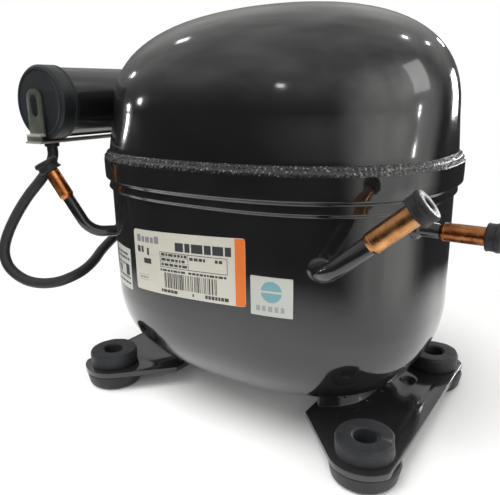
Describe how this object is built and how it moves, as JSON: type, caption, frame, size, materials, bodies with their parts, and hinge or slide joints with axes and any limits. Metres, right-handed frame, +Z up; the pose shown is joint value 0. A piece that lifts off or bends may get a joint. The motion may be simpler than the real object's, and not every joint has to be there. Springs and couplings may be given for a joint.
{
  "type": "hermetic reciprocating compressor",
  "caption": "Welded oval steel shell on rubber feet with bent tube stubs, terminal box, start capacitor and a sprung motor and piston pump inside.",
  "frame": {"origin": "centre of the rectangle of mounting holes, on the plane the feet stand on", "axes": "+Z up along the crankshaft; X along the long side of the hole rectangle and of the oval shell, +X at the end with the suction and discharge stubs; -Y is the side with the labels"},
  "size_m": [0.2688, 0.1666, 0.2124],
  "materials": {
    "shell_paint": "gloss black",
    "weld": "blackened, rippled",
    "plate_paint": "gloss black",
    "foot_rubber": "matte",
    "tube_paint": "gloss black",
    "copper": "warm copper",
    "plug_rubber": "matte",
    "label": "satin paper",
    "terminal_steel": "satin",
    "glass_seal": "clear green",
    "fence": "gloss black",
    "cover_plastic": "satin",
    "wire_steel": "bright wire",
    "screw_zinc": "zinc plated",
    "coil": "enamelled copper wire",
    "plunger_steel": "ground",
    "can_plastic": "smooth",
    "boot_rubber": "matte",
    "bracket_zinc": "yellow passivated zinc",
    "lead": "matte",
    "casting": "machined",
    "lamination": "laminated",
    "alloy": "cast",
    "gasket": "matte",
    "polymer": "natural",
    "bearing": "satin"
  },
  "bodies": {
    "shell": {"lower_shell": "shell_paint", "upper_shell": "shell_paint", "weld_bead": "weld", "base_plate_left": "plate_paint", "base_plate_right": "plate_paint", "foot_front_left": "foot_rubber", "foot_front_right": "foot_rubber", "foot_back_left": "foot_rubber", "foot_back_right": "foot_rubber", "suction_tube": "tube_paint", "suction_connector": "copper", "discharge_tube": "tube_paint", "discharge_connector": "copper", "process_tube": "tube_paint", "process_connector": "copper", "rating_label": "label", "square_sticker": "label", "side_label": "label", "terminal_cup": "terminal_steel", "terminal_glass": "glass_seal", "terminal_pins": "terminal_steel", "terminal_fence": "fence", "terminal_cover": "cover_plastic", "ground_screw": "screw_zinc", "relay_case": "cover_plastic", "relay_coil": "coil", "overload_protector": "cover_plastic", "capacitor_can": "can_plastic", "capacitor_boot": "boot_rubber", "capacitor_bracket": "bracket_zinc", "bracket_screw": "screw_zinc", "capacitor_lead": "lead", "spring_studs": "terminal_steel", "cluster_block": "polymer"},
    "pump": {"crankcase": "casting", "stator_core": "lamination", "stator_windings": "coil", "stator_bolts": "screw_zinc", "valve_plate": "plunger_steel", "gaskets": "gasket", "cylinder_head": "alloy", "head_bolts": "screw_zinc", "suction_muffler": "polymer", "discharge_loop": "copper", "thrust_washer": "bearing", "spring_caps": "polymer", "suspension_springs": "wire_steel"},
    "crank": {"crankshaft": "plunger_steel", "rotor": "lamination", "oil_pickup": "wire_steel"},
    "piston": {"piston": "casting", "wrist_pin": "plunger_steel"},
    "rod": {"connecting_rod": "alloy"},
    "suction_cap": {"suction_plug": "plug_rubber"},
    "discharge_cap": {"discharge_plug": "plug_rubber"},
    "process_cap": {"process_plug": "plug_rubber"},
    "bail": {"cover_bail": "wire_steel"},
    "armature": {"relay_plunger": "plunger_steel"}
  },
  "joints": [
    {"name": "pump_float", "type": "slide", "parent": "shell", "child": "pump", "axis": [0, 0, 1], "range_m": [-0.0015, 0.0015], "stiffness_N_per_m": 40000, "springref_m": 0.0012, "deforming": ["suspension_springs"]},
    {"name": "crank_spin", "type": "hinge", "parent": "pump", "child": "crank", "pos_m": [-0.01, 0.005, 0.1], "axis": [0, 0, 1], "continuous": true},
    {"name": "piston_slide", "type": "slide", "parent": "pump", "child": "piston", "axis": [1, 0, 0], "range_m": [-0.023, 0]},
    {"name": "rod_swing", "type": "hinge", "parent": "piston", "child": "rod", "pos_m": [0.0465, 0.005, 0.158], "axis": [0, 0, 1], "range_deg": [-14.5, 14.5]},
    {"name": "suction_plug_pull", "type": "slide", "parent": "shell", "child": "suction_cap", "axis": [0.7536, 0.1339, 0.6435], "range_m": [0, 0.03]},
    {"name": "discharge_plug_pull", "type": "slide", "parent": "shell", "child": "discharge_cap", "axis": [1, 0, 0], "range_m": [0, 0.03]},
    {"name": "process_plug_pull", "type": "slide", "parent": "shell", "child": "process_cap", "axis": [-0.3585, -0.2849, 0.889], "range_m": [0, 0.03]},
    {"name": "bail_swing", "type": "hinge", "parent": "shell", "child": "bail", "pos_m": [-0.088, 0.041, 0.073], "axis": [0.4431, 0.8965, 0], "range_deg": [-80, 0]},
    {"name": "relay_lift", "type": "slide", "parent": "shell", "child": "armature", "axis": [0, 0, 1], "range_m": [0, 0.003]}
  ]
}
